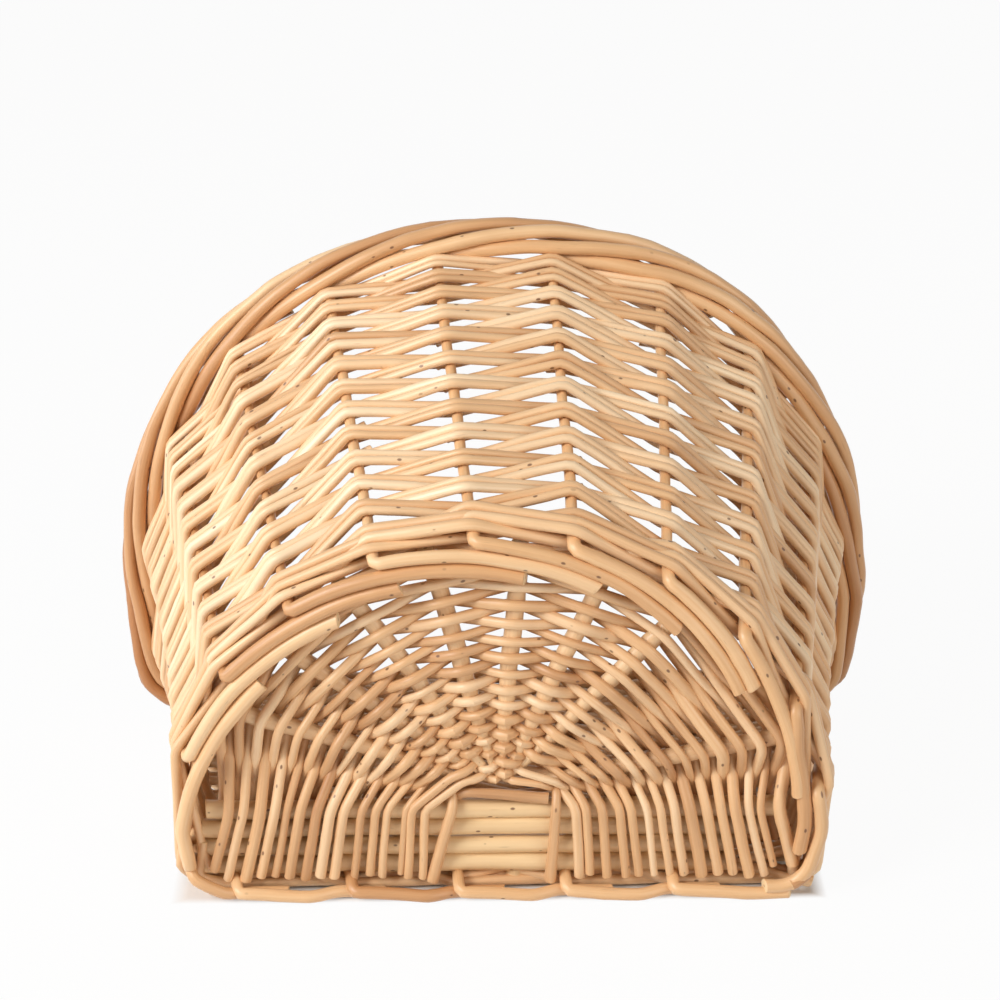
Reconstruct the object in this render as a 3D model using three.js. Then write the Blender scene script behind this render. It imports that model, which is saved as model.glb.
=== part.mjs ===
import * as THREE from 'three';

// A D-shaped bicycle basket of peeled willow, lying on its flat back.
// X runs across the basket, Z up from the flat back to the crown, and Y from the base (low) to the
// open mouth (high). The origin is the middle of the face that it lies on. Sizes are millimetres.

// Driving dimensions
const height = 210; // foot border to rim border
const foot = { halfWidth: 153, depth: 191, archRise: 153, corner: 22, toeIn: 2 };
const rim = { halfWidth: 197, depth: 275.5, archRise: 188, corner: 31, toeIn: 2.5 };
const clearance = 0.3; // between rods that touch

const stakeCount = 18;
const stakeLean = 11; // how far the stakes' feet stand clockwise of their heads
const stakeDiameter = 5.2; // in the wall
const stakeBend = 7; // length taken by the turn from the wall into a border

const footRod = 7.4; // thickness of a stake's butt, where it lies on the foot's face
const footTailSpans = 1.8; // stake spacings that a butt runs before it is cut
const flatRod = 5.6; // thickness of the butts along the flat side
const flatTailSpans = 1.33;
const flatDropStart = 0.34; // spans from its stake where such a butt leaves the face
const flatDropEnd = 0.66; // and where it lies lowest
const flatEndGap = 0.1; // spans between the last flat butt and the corner's butt
const bandSpread = 1.03; // butts' pitch over their thickness, as they run at a slant
const rimRod = 6.6;
const rimStrands = 6; // rods side by side round the rim border's rope
const rimTurnRadius = 7.2; // from the rope's middle line to a strand's middle
const rimStartPhase = -150; // degrees: 0 faces out, 90 faces the mouth
const rimTailSpans = 5.8;

const weaverRod = 3.45; // one of the two rods in a row of slewing
const pairWaist = 0.5; // thickness of a pair between its rods, as a share of one rod
const rowCount = 20;
const turnsPerWeaver = 2;
const hoopCount = 2;
const hoopDiameter = 5.6;
const hoopLift = 0.8; // between the foot border and the first hoop
const cornerRoom = 0.15; // least share of a stake spacing from a stake to a corner of the wall
const endGap = 0.7; // each end of a ring stops this far from the stake that both lie on

const stickCount = 4;
const stickDiameter = 9;
const ribGaps = [12, 10, 9, 8, 7, 6, 5, 4]; // each rib ends between this stake and the next
const ribDiameter = 8.3;
const ribPointDiameter = 2.6;
const ribPointStart = 10; // from the fan's centre to the rib's shaved point
const ribTaperLength = 45;
const fanLift = 8.2; // fan centre above the top stick
const ribTaperMiddle = 0.3; // share of the taper at its middle section
const baseRowCount = 15;
const baseRowInner = 0.3; // innermost base row, as a share of the reach to the outermost
const baseRodInner = 3.2;
const baseRodOuter = 4.4;
const baseEdgeRoom = 2; // between the outermost base row and the stakes
const lashingDiameter = 4.4;
const lashingSpread = 24; // from the middle of the base to the middle of a lashing
const barDiameter = 5;

// Facets
const rodSides = 6;
const stickSides = 10;
const ribSides = 8;
const baseRodSides = 5;
const footStationsPerSpan = 3;
const rimStationsPerSpan = 2;
const stationAfterBend = 1.4; // nearest border station to a stake, as a multiple of its bend
const stationBeforeCut = 0.5; // nearest border station to a cut end, in the same measure
const stationCrowding = 0.4; // even stations nearer than this share of their pitch to a corner go
const bendSteps = 3;
const hookSteps = 3;
const edgeDivisions = 24;
const clearingPasses = 6;
const steepSlope = 0.8; // past this slope up the wall a rod's frame starts from X instead of Y

const willow = {
  stick: { color: 0xdcc08e, roughness: 0.45, metalness: 0 },
  rib: { color: 0xd9bb88, roughness: 0.5, metalness: 0 },
  baseRod: { color: 0xcfa873, roughness: 0.5, metalness: 0 },
  stake: { color: 0xd6ab74, roughness: 0.5, metalness: 0 },
  weaver: { color: 0xdfb988, roughness: 0.55, metalness: 0 },
};

// Places worked out from the driving dimensions
const footLine = -height / 2;
const rimLine = height / 2;
const rimBorderRadius = rimTurnRadius + rimRod / 2;
const baseFront = footLine + footRod + clearance; // the base lies behind the foot border
const sheetY = baseFront + baseRodOuter + clearance + stickDiameter / 2; // middle of the base
const stakeRadius = stakeDiameter / 2;
const hoopRadius = hoopDiameter / 2;
const hoopY = (index) =>
  footLine + footRod + hoopLift + hoopRadius + index * (hoopDiameter + clearance);

const up = new THREE.Vector3(0, 1, 0); // towards the mouth
const radians = THREE.MathUtils.degToRad;

const basket = new THREE.Group();

function addPiece(name, geometry, finish) {
  const mesh = new THREE.Mesh(geometry, new THREE.MeshStandardMaterial(finish));
  mesh.name = name;
  basket.add(mesh);
}

const numbered = (name, index, digits = 1) => `${name}_${String(index + 1).padStart(digits, '0')}`;

// The D outline, clockwise seen from the base, from the middle of the flat side. Its points are
// (x, z), and a share of its length from 0 to 1 names a place on it.
function outline(size, inset) {
  const half = size.halfWidth - inset;
  const rise = size.archRise - inset;
  const shoulder = size.depth - size.archRise;
  const corner = size.corner - inset;
  const toe = half - size.toeIn;
  const quarter = Math.PI / 2;
  const path = new THREE.Path();
  path.moveTo(0, inset);
  path.lineTo(corner - toe, inset);
  path.absarc(corner - toe, inset + corner, corner, -quarter, -Math.PI, true);
  path.lineTo(-half, shoulder);
  path.absellipse(0, shoulder, half, rise, Math.PI, 0, true);
  path.lineTo(toe, inset + corner);
  path.absarc(toe - corner, inset + corner, corner, 0, -quarter, true);
  path.lineTo(0, inset);
  return path;
}

const wrap = (share) => ((share % 1) + 1) % 1;

function onOutline(path, share, y) {
  const point = path.getPoint(wrap(share));
  return new THREE.Vector3(point.x, y, point.y);
}

function outwardOn(path, share) {
  const tangent = path.getTangent(wrap(share));
  return new THREE.Vector3(-tangent.y, 0, tangent.x);
}

// What both borders share: where each stake meets the outline, the places for sections along it,
// and the length of a stake's bend in stake spacings.
function makeBorder(size, inset, lean, perSpan) {
  const path = outline(size, inset);
  const length = path.getLength();
  const stakeShare = (index) => (index + 0.5) / stakeCount + lean / length;
  const corners = cornerShares(path, size.corner);
  const marks = borderMarks(corners, stakeShare(0), perSpan);
  return { path, stakeShare, corners, marks, bendSpans: (stakeBend * stakeCount) / length };
}

// The start, middle and end of each corner arc, as shares of the outline.
function cornerShares(path, shortRadius) {
  const length = path.getLength();
  const corners = [];
  let run = 0;
  path.curves.forEach((curve) => {
    const span = curve.getLength();
    const isCorner = curve.isEllipseCurve && curve.xRadius < shortRadius;
    if (isCorner) corners.push([0, 0.5, 1].map((part) => (run + part * span) / length));
    run += span;
  });
  return corners;
}

// Places where every strand has a section: even ones along the outline, and those of the corners
// in place of the even ones that are too near.
function borderMarks(cornerArcs, firstShare, perSpan) {
  const corners = cornerArcs.flat();
  const even = stakeCount * perSpan;
  const nearest = stationCrowding / even;
  const apart = (a, b) => Math.abs(wrap(a - b + 0.5) - 0.5);
  const spaced = Array.from({ length: even }, (_, k) => wrap(firstShare + k / even));
  const kept = spaced.filter((share) => corners.every((other) => apart(share, other) > nearest));
  return [...kept, ...corners].sort((a, b) => a - b);
}

// Foot border. Round the curve each butt lies on the face, from the outer edge clockwise and
// inwards, along the inner side of the next one. A tail is cut before the flat side.
const footBorder = makeBorder(foot, footRod / 2, stakeLean, footStationsPerSpan);
const bandPitch = (footRod + clearance) * bandSpread;
const flatStart = footBorder.corners[1][2];
const cornerSpans = (flatStart - footBorder.corners[1][0]) * stakeCount;

function curvedFoot(index) {
  const start = footBorder.stakeShare(index);
  const place = (spans) => {
    const share = footBorder.stakeShare(index + spans);
    return onOutline(footBorder.path, share, footLine + footRod / 2)
      .addScaledVector(outwardOn(footBorder.path, share), -bandPitch * spans);
  };
  const left = wrap(flatStart - start) * stakeCount;
  const room = left < 1 ? left : left - cornerSpans;
  return { place, turn: 1, spans: Math.min(footTailSpans, room), diameter: footRod };
}

// Along the flat side each butt runs the other way: over the face first, and then under the next
// stake.
function flatFoot(index) {
  const start = footBorder.stakeShare(index);
  const high = new THREE.Vector2(footLine + flatRod / 2, flatRod + clearance + stakeRadius);
  const low = new THREE.Vector2(hoopY(0) - hoopRadius - clearance - flatRod / 2, flatRod / 2);
  const place = (spans) => {
    const share = footBorder.stakeShare(index - spans);
    const drop = THREE.MathUtils.smoothstep(spans, flatDropStart, flatDropEnd);
    const { x } = onOutline(footBorder.path, share, 0);
    const level = high.clone().lerp(low, drop);
    return new THREE.Vector3(x, level.x, level.y);
  };
  const room = wrap(start - flatStart) * stakeCount - flatEndGap;
  return { place, turn: -1, spans: Math.min(flatTailSpans, room), diameter: flatRod };
}

const isFlat = (index) =>
  onOutline(footBorder.path, footBorder.stakeShare(index), 0).z < footRod;
const footRun = (index) => (isFlat(index) ? flatFoot(index) : curvedFoot(index));

// Rim border: a rope of strands that wind round its middle line at one radius, a full turn in as
// many stake spacings as there are strands.
const rimBorder = makeBorder(rim, rimBorderRadius, 0, rimStationsPerSpan);

function onRope(share, spans) {
  const angle = radians(rimStartPhase + (360 * spans) / rimStrands);
  return onOutline(rimBorder.path, share, rimLine - rimBorderRadius)
    .addScaledVector(outwardOn(rimBorder.path, share), rimTurnRadius * Math.cos(angle))
    .addScaledVector(up, rimTurnRadius * Math.sin(angle));
}

function rimRun(index) {
  const place = (spans) => onRope(rimBorder.stakeShare(index + spans), spans);
  return { place, turn: 1, spans: rimTailSpans, diameter: rimRod };
}

// The part of a stake that lies in a border, from the turn out of the wall to the cut end. It has
// sections at the border's marks.
function tail(border, index, run, wallPoint, corner) {
  const start = border.stakeShare(index);
  const first = stationAfterBend * border.bendSpans;
  const last = run.spans - stationBeforeCut * border.bendSpans;
  const steps = border.marks
    .map((share) => wrap(run.turn * (share - start)) * stakeCount)
    .filter((spans) => spans > first && spans < last)
    .sort((a, b) => a - b);
  const turn = new THREE.QuadraticBezierCurve3(wallPoint, corner, run.place(border.bendSpans));
  return {
    bend: turn.getPoints(bendSteps),
    rest: [...steps, run.spans].map((spans) => run.place(spans)),
    diameter: run.diameter,
  };
}

// A rod of round section along a list of points, with its own radius at each one and flat ends.
function rodGeometry(points, radii, sides) {
  const frames = carriedFrames(points);
  const section = Array.from({ length: sides }, (_, k) => {
    const angle = (2 * Math.PI * k) / sides;
    return new THREE.Vector2(Math.cos(angle), Math.sin(angle));
  });
  const rings = points.map((point, k) =>
    section.map((corner) => point.clone()
      .addScaledVector(frames[k].across, corner.x * radii[k])
      .addScaledVector(frames[k].out, corner.y * radii[k])));
  return skin(rings);
}

// Frames that turn with the line and don't roll about it.
function carriedFrames(points) {
  const along = points.map((point, k) => {
    const before = points[Math.max(k - 1, 0)];
    const after = points[Math.min(k + 1, points.length - 1)];
    const arriving = point.clone().sub(before).normalize();
    const leaving = after.clone().sub(point).normalize();
    return arriving.add(leaving).normalize();
  });
  const reference = Math.abs(along[0].y) < steepSlope ? up : new THREE.Vector3(1, 0, 0);
  let across = new THREE.Vector3().crossVectors(reference, along[0]).normalize();
  return along.map((direction) => {
    across = across.clone().addScaledVector(direction, -across.dot(direction)).normalize();
    return { across, out: new THREE.Vector3().crossVectors(direction, across) };
  });
}

// Closed skin over rings of points that run anticlockwise seen against the direction of travel.
function skin(rings) {
  const count = rings[0].length;
  const positions = rings.flat().flatMap((point) => point.toArray());
  const index = [];
  for (let ring = 0; ring + 1 < rings.length; ring += 1) {
    for (let k = 0; k < count; k += 1) {
      const next = (k + 1) % count;
      const low = ring * count;
      const high = low + count;
      index.push(low + k, low + next, high + next, low + k, high + next, high + k);
    }
  }
  const last = (rings.length - 1) * count;
  for (const [a, b, c] of capTriangles(rings[0])) {
    index.push(a, c, b, last + a, last + b, last + c);
  }
  const geometry = new THREE.BufferGeometry();
  geometry.setAttribute('position', new THREE.Float32BufferAttribute(positions, 3));
  geometry.setIndex(index);
  geometry.computeVertexNormals();
  return geometry;
}

// Both ends are cut square and share these triangles, found in the plane of the section.
function capTriangles(ring) {
  const total = ring.reduce((sum, point) => sum.add(point), new THREE.Vector3());
  const middle = total.divideScalar(ring.length);
  const axisA = ring[0].clone().sub(middle).normalize();
  const axisB = normalOf(ring, middle).cross(axisA);
  const flat = ring.map((point) => {
    const arm = point.clone().sub(middle);
    return new THREE.Vector2(arm.dot(axisA), arm.dot(axisB));
  });
  return THREE.ShapeUtils.triangulateShape(flat, []);
}

function normalOf(ring, middle) {
  const normal = new THREE.Vector3();
  ring.forEach((point, k) => {
    const next = ring[(k + 1) % ring.length];
    normal.add(point.clone().sub(middle).cross(next.clone().sub(middle)));
  });
  return normal.normalize();
}

// Stakes: each is one rod, from its cut butt in the foot border, up the wall, to its tip in the
// rim border.
const stakes = Array.from({ length: stakeCount }, (_, index) => {
  const low = footRun(index).place(0);
  const high = rimRun(index).place(0);
  return { low, high, axis: high.clone().sub(low).normalize() };
});
const stakeAt = (index) => stakes[((index % stakeCount) + stakeCount) % stakeCount];

const shareOfHeight = ({ low, high }, y) => (y - low.y) / (high.y - low.y);
const pointUp = (line, y) => line.low.clone().lerp(line.high, shareOfHeight(line, y));
const stakePointAt = (index, y) => pointUp(stakeAt(index), y);

function stakeLine(index) {
  const { low, high, axis } = stakeAt(index);
  const wallStart = low.clone().addScaledVector(axis, stakeBend);
  const wallEnd = high.clone().addScaledVector(axis, -stakeBend);
  const butt = tail(footBorder, index, footRun(index), wallStart, low);
  const tip = tail(rimBorder, index, rimRun(index), wallEnd, high);
  const swell = ({ bend, rest, diameter }) => [
    ...bend.map((_, k) => THREE.MathUtils.lerp(stakeDiameter, diameter, k / bendSteps)),
    ...rest.map(() => diameter),
  ];
  return {
    points: [...butt.bend, ...butt.rest].reverse().concat(tip.bend, tip.rest),
    radii: swell(butt).reverse().concat(swell(tip)).map((diameter) => diameter / 2),
  };
}

for (let index = 0; index < stakeCount; index += 1) {
  const { points, radii } = stakeLine(index);
  addPiece(numbered('stake', index, 2), rodGeometry(points, radii, rodSides), willow.stake);
}

// The wall's corners: lines up it at the middle of each corner arc, as parts of the way from the
// stake before to the next one.
const wallCorners = footBorder.corners.map((arc, order) => {
  const middles = [arc[1], rimBorder.corners[order][1]];
  const [atFoot, atRim] = [footBorder, rimBorder].map((border, k) =>
    wrap(middles[k] - border.stakeShare(0)) * stakeCount);
  const before = Math.floor((atFoot + atRim) / 2);
  const [lowPart, highPart] = [atFoot, atRim].map((spans) =>
    THREE.MathUtils.clamp(spans - before, cornerRoom, 1 - cornerRoom));
  const low = curvedFoot(before + lowPart).place(0);
  const high = rimRun(before + highPart).place(0);
  return { before, lowPart, highPart, low, high, lean: high.clone().sub(low).normalize() };
});

// Weaving: a rod crosses a row of others, in front of some and behind the rest. Each crossing gives
// a point and direction of the rod crossed, the way out of the wall, the side that is passed
// (1 in front, -1 behind) and the least distance between the two middles. The offsets grow until
// both stretches beside each crossing clear the rod crossed. Where there is no rod to cross, the
// side is only a share of the distance.
function weave(crossings) {
  const lift = crossings.map((crossing) => crossing.clear);
  const place = (crossing, k) =>
    crossing.at.clone().addScaledVector(crossing.out, crossing.side * lift[k]);
  let points = crossings.map(place);
  for (let pass = 0; pass < clearingPasses; pass += 1) {
    crossings.forEach((crossing, k) => {
      if (!crossing.axis) return;
      const spans = [points[k - 1], points[k + 1]].filter(Boolean)
        .map((other) => lineDistance(crossing.at, crossing.axis, points[k], other));
      lift[k] *= Math.max(1, crossing.clear / Math.min(...spans));
    });
    points = crossings.map(place);
  }
  return points;
}

function lineDistance(at, axis, from, to) {
  const normal = new THREE.Vector3().crossVectors(axis, to.clone().sub(from)).normalize();
  return Math.abs(normal.dot(from.clone().sub(at)));
}

function outwardAt(index, y) {
  const around = stakePointAt(index + 1, y).sub(stakePointAt(index - 1, y));
  return new THREE.Vector3().crossVectors(around, stakeAt(index).axis).normalize();
}

// A row's crossings of the stakes, with the turns that it makes at the wall's corners.
function withCorners(crossings, firstIndex) {
  return crossings.flatMap((crossing, step) => {
    const before = (firstIndex + step) % stakeCount;
    const corner = wallCorners.find((other) => other.before === before);
    const next = crossings[step + 1];
    if (!corner || !next) return [crossing];
    const height = shareOfHeight(corner, crossing.at.y);
    const part = THREE.MathUtils.lerp(corner.lowPart, corner.highPart, height);
    const turn = {
      at: pointUp(corner, THREE.MathUtils.lerp(crossing.at.y, next.at.y, part)),
      lean: corner.lean,
      out: crossing.out.clone().add(next.out).normalize(),
      side: THREE.MathUtils.lerp(crossing.side, next.side, part),
      clear: crossing.clear,
    };
    return [crossing, turn];
  });
}

// Upsett hoops: rods laid outside all the stakes, beside the base, that hold them to it.
function ringCrossings(y) {
  const crossings = Array.from({ length: stakeCount + 1 }, (_, index) => ({
    at: stakePointAt(index, y),
    axis: stakeAt(index).axis,
    out: outwardAt(index, y),
    side: 1,
    clear: stakeRadius + clearance + hoopRadius,
  }));
  return withCorners(crossings, 0);
}

// The two ends of a ring that closes on its first stake are drawn back from each other.
function partEnds(points) {
  const last = points.length - 1;
  const opened = points.map((point) => point.clone());
  opened[0].addScaledVector(points[1].clone().sub(points[0]).normalize(), endGap);
  opened[last].addScaledVector(points[last - 1].clone().sub(points[last]).normalize(), endGap);
  return opened;
}

const hoopLines = Array.from({ length: hoopCount }, (_, index) => weave(ringCrossings(hoopY(index))));
hoopLines.forEach((line, index) => addPiece(
  numbered('upsett_hoop', index),
  rodGeometry(partEnds(line), line.map(() => hoopRadius), rodSides),
  willow.weaver,
));

// Side weavers: pairs of rods slewed in front of one stake and behind the next. Two sets chase each
// other, so that neighbouring rows pass each stake on opposite sides. A weaver goes round
// turnsPerWeaver times and steps up two rows where it comes round to the first stake.
const pairWidth = 2 * weaverRod;
const rowsStart = sheetY + ribDiameter / 2 + clearance;
const rowsEnd = rimLine - 2 * rimBorderRadius - clearance;
const rowPitch = (rowsEnd - rowsStart - pairWidth) / rowCount;
const rowLevel = (row, index) => {
  const sway = index % 2 === 0 ? -rowPitch / 2 : rowPitch / 2;
  return rowsStart + (pairWidth + rowPitch) / 2 + row * rowPitch + sway;
};

// Section of a pair: two rods side by side along the wall, from their outer edges to the waist.
const pairSection = [
  [2, 0], [1, 1], [0, pairWaist], [-1, 1], [-2, 0], [-1, -1], [0, -pairWaist], [1, -1],
].map(([across, out]) => new THREE.Vector2(across, out).multiplyScalar(weaverRod / 2));

function sideWeaver(firstRow, startIndex, steps) {
  const crossings = Array.from({ length: steps + 1 }, (_, step) => {
    const index = startIndex + step;
    const row = firstRow + 2 * Math.floor(index / stakeCount);
    const y = rowLevel(row, index);
    return {
      at: stakePointAt(index, y),
      axis: stakeAt(index).axis,
      lean: stakeAt(index).axis,
      out: outwardAt(index, y),
      side: (index + row) % 2 === 1 ? 1 : -1,
      clear: stakeRadius + clearance + weaverRod / 2,
    };
  });
  const places = withCorners(crossings, startIndex);
  const line = partEnds(weave(places));
  const rings = line.map((point, k) =>
    pairSection.map((corner) => point.clone()
      .addScaledVector(places[k].lean, corner.x)
      .addScaledVector(places[k].out, corner.y)));
  return skin(rings);
}

const weaverCount = rowCount / turnsPerWeaver;
for (let order = 0; order < weaverCount; order += 1) {
  const chaser = order % 2;
  const firstRow = chaser + 2 * turnsPerWeaver * Math.floor(order / 2);
  const isLast = order >= weaverCount - 2;
  const steps = turnsPerWeaver * stakeCount - (isLast ? 2 : 0);
  addPiece(numbered('side_weaver', order, 2), sideWeaver(firstRow, chaser, steps), willow.weaver);
}

// Base sticks: four stout rods side by side along the flat edge.
const stickPitch = stickDiameter + clearance;
const stakeTopAtBack = stakePointAt(0, sheetY).z + stakeRadius;
const firstStickZ = stakeTopAtBack + clearance + stickDiameter / 2;
const stickZ = (index) => firstStickZ + index * stickPitch;
const topStickZ = stickZ(stickCount - 1);

// Distance from a point in the base to a closed line of points round it, along a direction.
function reach(from, direction, ring) {
  let least = Infinity;
  ring.forEach((start, k) => {
    const edge = ring[(k + 1) % ring.length].clone().sub(start);
    const cross = direction.x * edge.z - direction.z * edge.x;
    const arm = start.clone().sub(from);
    const along = (arm.x * edge.z - arm.z * edge.x) / cross;
    const share = (arm.x * direction.z - arm.z * direction.x) / cross;
    if (share >= 0 && share <= 1 && along > 0) least = Math.min(least, along);
  });
  return least;
}

// A square-cut rod reaches as far as both of its edges can.
function rodReach(from, direction, radius, ring) {
  const sideways = new THREE.Vector3(-direction.z, 0, direction.x);
  return Math.min(...[-radius, 0, radius].map((offset) =>
    reach(from.clone().addScaledVector(sideways, offset), direction, ring)));
}

const insideStakes = (y) => ringCrossings(y).slice(0, -1).map(({ at, out }) =>
  at.clone().addScaledVector(out, -stakeRadius));
const insideHoop = ringCrossings(hoopY(0)).slice(0, -1).map(({ out }, k) =>
  hoopLines[0][k].clone().addScaledVector(out, -hoopRadius));

const besideSticks = insideStakes(sheetY - stickDiameter / 2);
for (let index = 0; index < stickCount; index += 1) {
  const middle = new THREE.Vector3(0, sheetY, stickZ(index));
  const ends = [-1, 1].map((side) => {
    const direction = new THREE.Vector3(side, 0, 0);
    const length = rodReach(middle, direction, stickDiameter / 2, besideSticks) - clearance;
    return middle.clone().addScaledVector(direction, length);
  });
  const radii = [stickDiameter / 2, stickDiameter / 2];
  addPiece(numbered('base_stick', index), rodGeometry(ends, radii, stickSides), willow.stick);
}

// Ribs: shaved to a point at the fan's centre, full thickness further out, and ending between the
// stakes against the hoop.
const fanCentre = new THREE.Vector3(0, sheetY, topStickZ + stickDiameter / 2 + fanLift);
const ribDirections = ribGaps.map((index) => {
  const gap = stakePointAt(index, sheetY).lerp(stakePointAt(index + 1, sheetY), 0.5);
  return gap.sub(fanCentre).normalize();
});
const ribRadiusAt = (distance) => {
  const share = THREE.MathUtils.clamp((distance - ribPointStart) / ribTaperLength, 0, 1);
  return THREE.MathUtils.lerp(ribPointDiameter, ribDiameter, Math.sqrt(share)) / 2;
};

ribDirections.forEach((direction, index) => {
  const end = rodReach(fanCentre, direction, ribDiameter / 2, insideHoop) - clearance;
  const taper = [0, ribTaperMiddle, 1].map((share) => ribPointStart + share * ribTaperLength);
  const distances = [...taper, end];
  const points = distances.map((distance) => fanCentre.clone().addScaledVector(direction, distance));
  addPiece(
    numbered('base_rib', index),
    rodGeometry(points, distances.map(ribRadiusAt), ribSides),
    willow.rib,
  );
});

// Base weavers: rods that cross the ribs over and under, and whose legs run down over or behind
// the sticks.
const towardsFoot = new THREE.Vector3(0, -1, 0);
const baseEdgeInset = (footRod + stakeDiameter + baseRodOuter) / 2 + baseEdgeRoom;
const baseEdge = outline(foot, baseEdgeInset).getPoints(edgeDivisions)
  .map((point) => new THREE.Vector3(point.x, sheetY, point.y));
const besideLegs = insideStakes(baseFront);
const legTop = topStickZ + stickDiameter / 2;
const legBottom = (x, radius) => {
  const top = new THREE.Vector3(x, sheetY, legTop);
  const down = new THREE.Vector3(0, 0, -1);
  return legTop - rodReach(top, down, radius, besideLegs) + clearance;
};

for (let row = 0; row < baseRowCount; row += 1) {
  const part = row / (baseRowCount - 1);
  const share = THREE.MathUtils.lerp(baseRowInner, 1, part);
  const radius = THREE.MathUtils.lerp(baseRodInner, baseRodOuter, part) / 2;
  const crossingStick = { out: towardsFoot, clear: stickDiameter / 2 + clearance + radius };
  const leg = (side, front) => {
    const x = side * share * reach(fanCentre, new THREE.Vector3(side, 0, 0), baseEdge);
    const low = front > 0 ? legBottom(x, radius) : stickZ(1);
    return [low, legTop].map((z) =>
      ({ ...crossingStick, side: front, at: new THREE.Vector3(x, sheetY, z) }));
  };
  const firstSide = row % 2 === 0 ? 1 : -1;
  const ribs = ribDirections.map((direction, k) => {
    const distance = share * reach(fanCentre, direction, baseEdge);
    return {
      at: fanCentre.clone().addScaledVector(direction, distance),
      axis: direction,
      out: towardsFoot,
      side: k % 2 === 0 ? -firstSide : firstSide,
      clear: ribRadiusAt(distance) + clearance + radius,
    };
  });
  const line = weave([...leg(1, firstSide), ...ribs, ...leg(-1, -firstSide).reverse()]);
  addPiece(
    numbered('base_weaver', row, 2),
    rodGeometry(line, line.map(() => radius), baseRodSides),
    willow.baseRod,
  );
}

// Centre: a short bar along the top stick, and a lashing at each end of it that comes up over the
// sticks.
const barZ = topStickZ + (stickDiameter + barDiameter) / 2 + clearance;
const lashingRadius = lashingDiameter / 2;
const barHalf = lashingSpread - lashingRadius - clearance;
addPiece(
  'centre_bar',
  rodGeometry(
    [new THREE.Vector3(-barHalf, sheetY, barZ), new THREE.Vector3(barHalf, sheetY, barZ)],
    [barDiameter / 2, barDiameter / 2],
    ribSides,
  ),
  willow.baseRod,
);

for (const [name, side] of [['lashing_left', -1], ['lashing_right', 1]]) {
  const x = side * lashingSpread;
  const turn = stickDiameter / 2 + clearance + lashingRadius;
  const hook = Array.from({ length: hookSteps + 1 }, (_, k) => {
    const angle = (k / hookSteps) * (Math.PI / 2);
    return new THREE.Vector3(x, sheetY - turn * Math.cos(angle), topStickZ + turn * Math.sin(angle));
  });
  const points = [new THREE.Vector3(x, sheetY - turn, legBottom(x, lashingRadius)), ...hook];
  addPiece(name, rodGeometry(points, points.map(() => lashingRadius), rodSides), willow.baseRod);
}

export default basket;
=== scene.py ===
import math
import random

import bmesh
import bpy
import numpy as np
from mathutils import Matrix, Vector


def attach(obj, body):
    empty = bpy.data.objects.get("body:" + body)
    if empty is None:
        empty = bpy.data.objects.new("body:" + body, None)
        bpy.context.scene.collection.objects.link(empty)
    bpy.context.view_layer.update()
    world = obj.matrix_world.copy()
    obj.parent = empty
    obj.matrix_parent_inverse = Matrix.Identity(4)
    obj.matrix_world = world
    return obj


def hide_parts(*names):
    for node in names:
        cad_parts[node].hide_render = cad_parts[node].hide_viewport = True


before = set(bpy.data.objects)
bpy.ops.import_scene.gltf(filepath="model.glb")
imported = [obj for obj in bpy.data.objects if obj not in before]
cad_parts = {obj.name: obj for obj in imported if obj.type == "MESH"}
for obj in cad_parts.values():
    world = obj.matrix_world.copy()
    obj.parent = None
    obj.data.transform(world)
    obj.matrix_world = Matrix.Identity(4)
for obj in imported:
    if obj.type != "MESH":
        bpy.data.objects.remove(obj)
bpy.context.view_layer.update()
mm = 0.001

# Camera: looks a little down on the face of the base, with the basket lying on its flat back.
# It stands back far enough for the small perspective of a product picture.
aim = Vector((0.0018, 0, 0.1634))
camera_height = math.radians(23.5)
camera_turn = math.radians(-1.0)
camera_distance = 1.2
camera = bpy.data.objects.new("camera", bpy.data.cameras.new("camera"))
towards_base = Vector((math.cos(camera_height) * math.sin(camera_turn),
                       -math.cos(camera_height) * math.cos(camera_turn),
                       math.sin(camera_height)))
camera.location = aim + camera_distance * towards_base
camera.rotation_euler = towards_base.to_track_quat("Z", "Y").to_euler()
camera.data.lens = 89
camera.data.sensor_width = 36
bpy.context.collection.objects.link(camera)
bpy.context.scene.camera = camera
bpy.context.scene.view_settings.view_transform = "Standard"


# Room: a white table and white walls, a large soft lamp high on the left, a weaker one on the right
# and one that grazes the left side. The table keeps a faint shadow.
class Pattern:
    """An output in a node tree. Sums and products of outputs add Math nodes."""

    def __init__(self, tree, socket=None):
        self.tree, self.socket = tree, socket

    def node(self, kind, inputs=(), output=0, **settings):
        made = self.tree.nodes.new(kind)
        for key, value in settings.items():
            setattr(made, key, value)
        for key, value in dict(inputs).items():
            if isinstance(value, Pattern):
                self.tree.links.new(value.socket, made.inputs[key])
            else:
                made.inputs[key].default_value = value
        return Pattern(self.tree, made.outputs[output])

    def output(self, name):
        """Another output of the same node."""
        return Pattern(self.tree, self.socket.node.outputs[name])

    def math(self, operation, *values, **settings):
        return self.node("ShaderNodeMath", enumerate(values), operation=operation, **settings)

    def __add__(self, other):
        return self.math("ADD", self, other)

    def __sub__(self, other):
        return self.math("SUBTRACT", self, other)

    def __rsub__(self, other):
        return self.math("SUBTRACT", other, self)

    def __mul__(self, other):
        return self.math("MULTIPLY", self, other)

    __radd__, __rmul__ = __add__, __mul__


def in_sight(start):
    """1 for the rays of the camera and of mirrors and glass, which show what they meet."""
    camera_ray = start.node("ShaderNodeLightPath", output="Is Camera Ray")
    glassy = camera_ray.output("Is Glossy Ray") + camera_ray.output("Is Transmission Ray")
    return start.math("ADD", camera_ray, glassy, use_clamp=True)


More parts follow.
